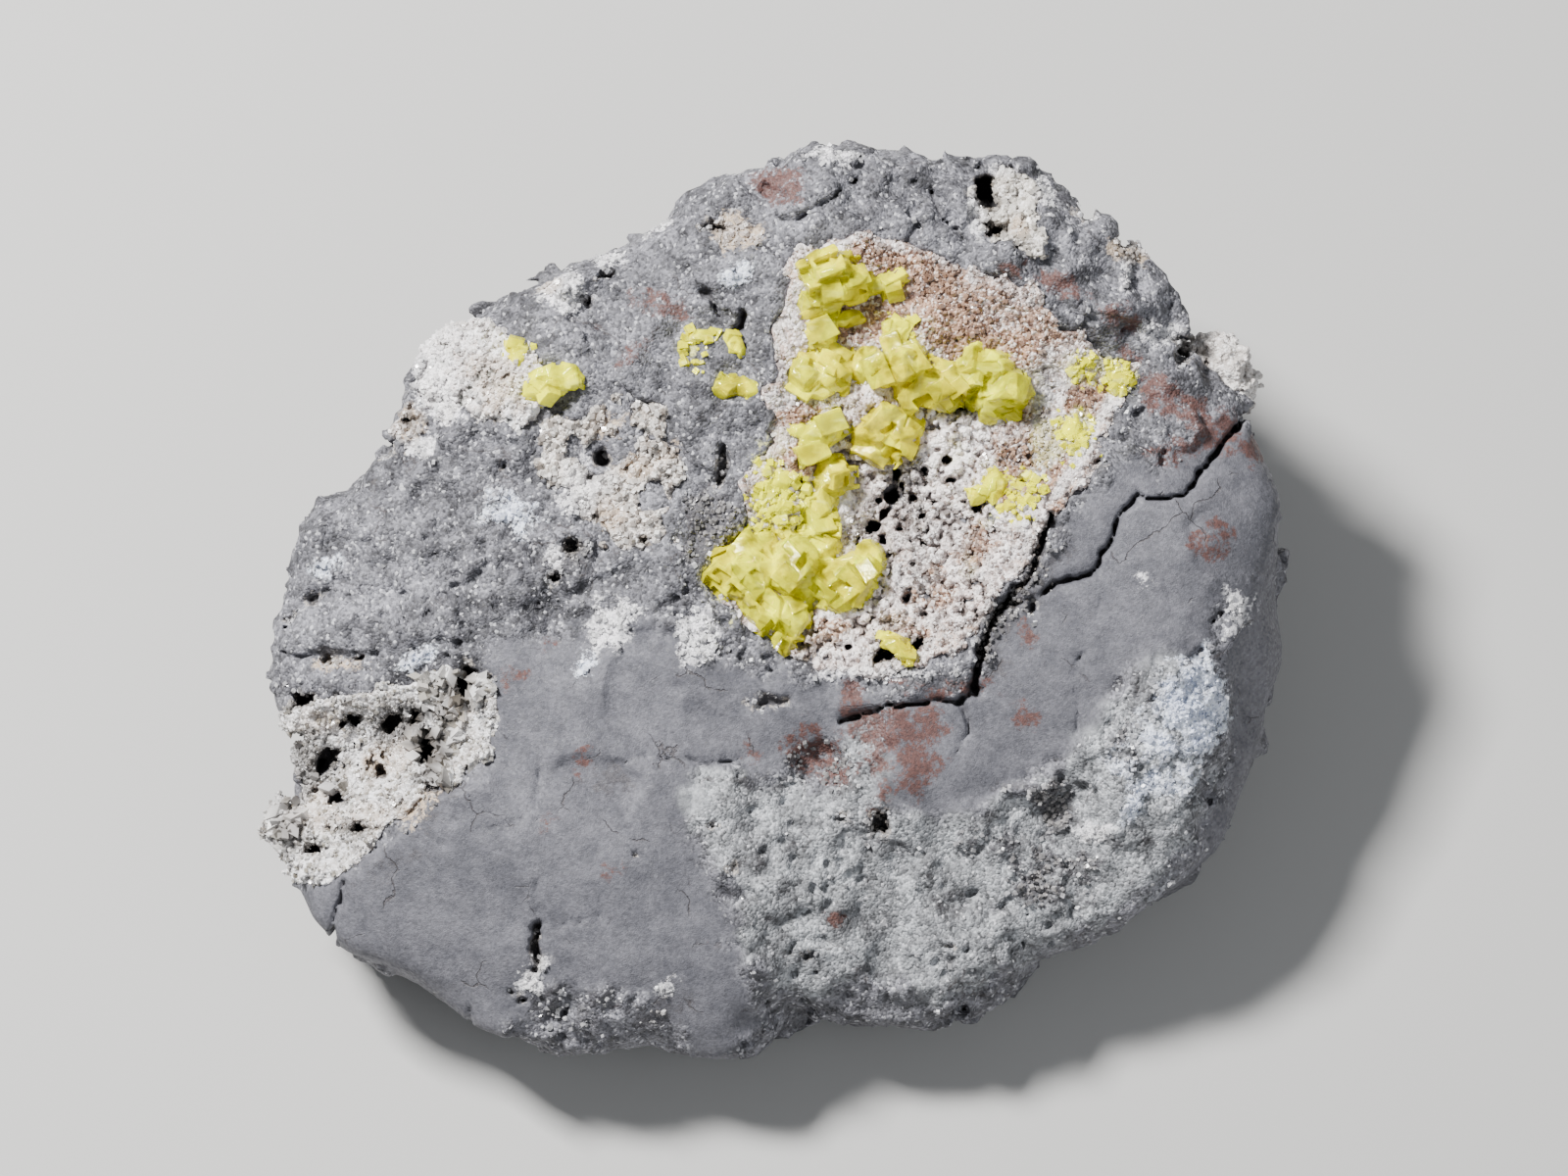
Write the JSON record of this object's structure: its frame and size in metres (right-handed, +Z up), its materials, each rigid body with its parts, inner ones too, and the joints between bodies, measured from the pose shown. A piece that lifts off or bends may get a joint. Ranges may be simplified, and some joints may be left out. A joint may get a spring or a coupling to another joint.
{
  "type": "native sulfur crystals on limestone matrix",
  "caption": "Broken block of grey limestone with a calcite-lined hollow that carries bright yellow sulfur crystals; lies on its flat underside, face up.",
  "frame": {"origin": "middle of the bounding box's underside, on the surface that the block rests on", "axes": "+X to the right across the mineral face and along the longest extent, +Y to the high rear edge, +Z up; the mineral face points up and leans 20 degrees towards -Y"},
  "size_m": [0.1796, 0.1592, 0.0825],
  "materials": {
    "limestone": "matte",
    "calcite_white": "satin",
    "calcite_tan": "satin",
    "sulfur": "satin"
  },
  "bodies": {
    "root": {"limestone_matrix": "limestone", "calcite_druse_main": "calcite_white", "calcite_druse_left_vug": "calcite_tan", "calcite_crust_upper_left": "calcite_white", "calcite_crust_centre_left": "calcite_tan", "calcite_lining_top_right": "calcite_tan", "calcite_knob_right": "calcite_white", "sulfur_lower_cluster": "sulfur", "sulfur_top_crystal": "sulfur", "sulfur_row_centre": "sulfur", "sulfur_row_right": "sulfur", "sulfur_row_left": "sulfur", "sulfur_flower": "sulfur", "sulfur_jagged": "sulfur", "sulfur_round": "sulfur", "sulfur_pale_blade": "sulfur", "sulfur_small_block": "sulfur", "sulfur_chip_upper": "sulfur", "sulfur_pale_chip": "sulfur", "sulfur_bottom_chip": "sulfur", "sulfur_right_sliver": "sulfur", "sulfur_left_crystal": "sulfur", "sulfur_left_chip": "sulfur", "sulfur_centre_chip": "sulfur", "sulfur_vein_left": "sulfur", "sulfur_vein_right": "sulfur", "sulfur_lobe_left": "sulfur", "sulfur_lobe_right": "sulfur", "sulfur_lobe_lower": "sulfur"}
  },
  "joints": []
}
